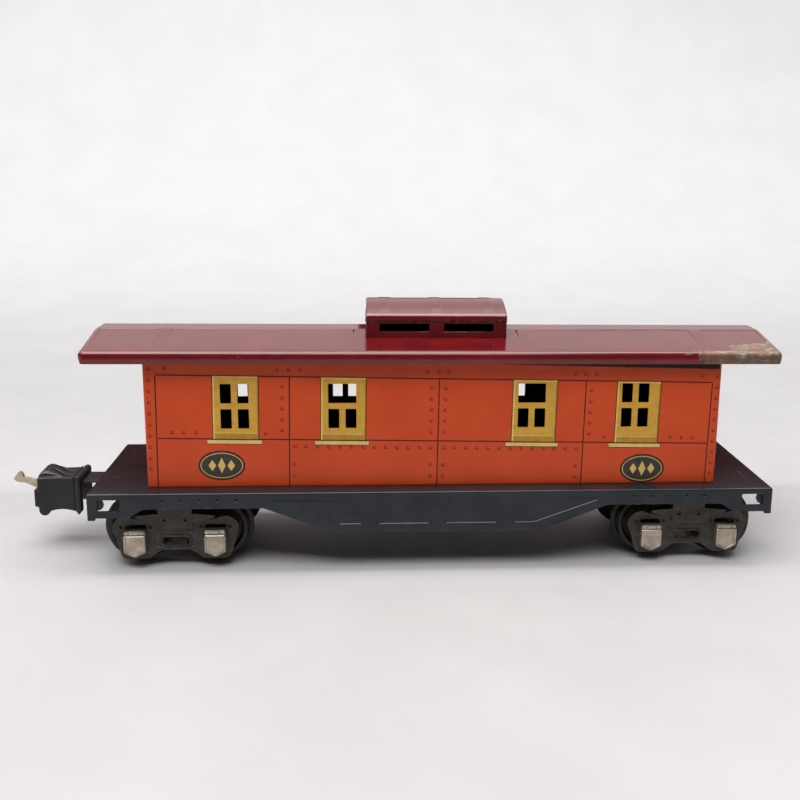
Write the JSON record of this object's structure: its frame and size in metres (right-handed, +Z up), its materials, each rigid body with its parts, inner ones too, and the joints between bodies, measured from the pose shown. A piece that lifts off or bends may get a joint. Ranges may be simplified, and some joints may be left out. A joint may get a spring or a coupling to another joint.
{
  "type": "model caboose",
  "caption": "Tinplate toy-train caboose with hollow litho body, overhanging roof, cupola, swivelling four-wheel trucks and a box coupler at one end.",
  "frame": {"origin": "on the rail plane, under the middle of the frame", "axes": "+X along the car away from the coupler, +Y across it, +Z up"},
  "size_m": [0.262, 0.062, 0.0885],
  "materials": {
    "frame_enamel": "gloss black enamel",
    "body_litho": "lithographed orange-red tinplate",
    "roof_enamel": "gloss maroon enamel",
    "truck_steel": "worn black finish",
    "journal_nickel": "worn nickel plate",
    "wheel_metal": "blackened, rubbed treads",
    "axle_steel": "plain steel",
    "coupler_black": "satin black casting",
    "hook_nickel": "worn nickel plate",
    "spring_steel": "spring steel"
  },
  "bodies": {
    "car": {"frame_pressing": "frame_enamel", "body_shell": "body_litho", "roof": "roof_enamel", "cupola_walls": "roof_enamel", "cupola_roof": "roof_enamel"},
    "front_truck": {"front_bolster": "truck_steel", "front_side_frame_near": "truck_steel", "front_side_frame_far": "truck_steel", "front_frame_rivets": "truck_steel", "front_journal_covers": "journal_nickel", "front_kingpin": "axle_steel", "front_spacer_bush": "axle_steel", "front_kingpin_clip": "spring_steel"},
    "front_outer_wheelset": {"front_outer_axle": "axle_steel", "front_outer_wheel_near": "wheel_metal", "front_outer_wheel_far": "wheel_metal"},
    "front_inner_wheelset": {"front_inner_axle": "axle_steel", "front_inner_wheel_near": "wheel_metal", "front_inner_wheel_far": "wheel_metal"},
    "rear_truck": {"rear_bolster": "truck_steel", "rear_side_frame_near": "truck_steel", "rear_side_frame_far": "truck_steel", "rear_frame_rivets": "truck_steel", "rear_journal_covers": "journal_nickel", "rear_kingpin": "axle_steel", "rear_spacer_bush": "axle_steel", "rear_kingpin_clip": "spring_steel"},
    "rear_outer_wheelset": {"rear_outer_axle": "axle_steel", "rear_outer_wheel_near": "wheel_metal", "rear_outer_wheel_far": "wheel_metal"},
    "rear_inner_wheelset": {"rear_inner_axle": "axle_steel", "rear_inner_wheel_near": "wheel_metal", "rear_inner_wheel_far": "wheel_metal"},
    "coupler": {"coupler_drawbar": "coupler_black", "coupler_box": "coupler_black", "coupler_rivets": "axle_steel", "hook_pin": "axle_steel", "hook_spring": "spring_steel"},
    "hook": {"coupler_hook": "hook_nickel"}
  },
  "joints": [
    {"name": "front_truck_swivel", "type": "hinge", "parent": "car", "child": "front_truck", "pos_m": [-0.0875, 0, 0.0255], "axis": [0, 0, 1], "range_deg": [-20, 20]},
    {"name": "front_outer_wheelset_spin", "type": "hinge", "parent": "front_truck", "child": "front_outer_wheelset", "pos_m": [-0.1007, 0, 0.0119], "axis": [0, 1, 0], "continuous": true},
    {"name": "front_inner_wheelset_spin", "type": "hinge", "parent": "front_truck", "child": "front_inner_wheelset", "pos_m": [-0.0743, 0, 0.0119], "axis": [0, 1, 0], "continuous": true},
    {"name": "rear_truck_swivel", "type": "hinge", "parent": "car", "child": "rear_truck", "pos_m": [0.0875, 0, 0.0255], "axis": [0, 0, 1], "range_deg": [-20, 20]},
    {"name": "rear_outer_wheelset_spin", "type": "hinge", "parent": "rear_truck", "child": "rear_outer_wheelset", "pos_m": [0.1007, 0, 0.0119], "axis": [0, 1, 0], "continuous": true},
    {"name": "rear_inner_wheelset_spin", "type": "hinge", "parent": "rear_truck", "child": "rear_inner_wheelset", "pos_m": [0.0743, 0, 0.0119], "axis": [0, 1, 0], "continuous": true},
    {"name": "coupler_swing", "type": "hinge", "parent": "car", "child": "coupler", "pos_m": [-0.0875, 0, 0.0244], "axis": [0, 0, 1], "range_deg": [-14, 14]},
    {"name": "hook_drop", "type": "hinge", "parent": "coupler", "child": "hook", "pos_m": [-0.127, 0, 0.0214], "axis": [0, 1, 0], "range_deg": [-10, 0], "stiffness_Nm_per_rad": 0.004, "springref_deg": 17.19}
  ]
}
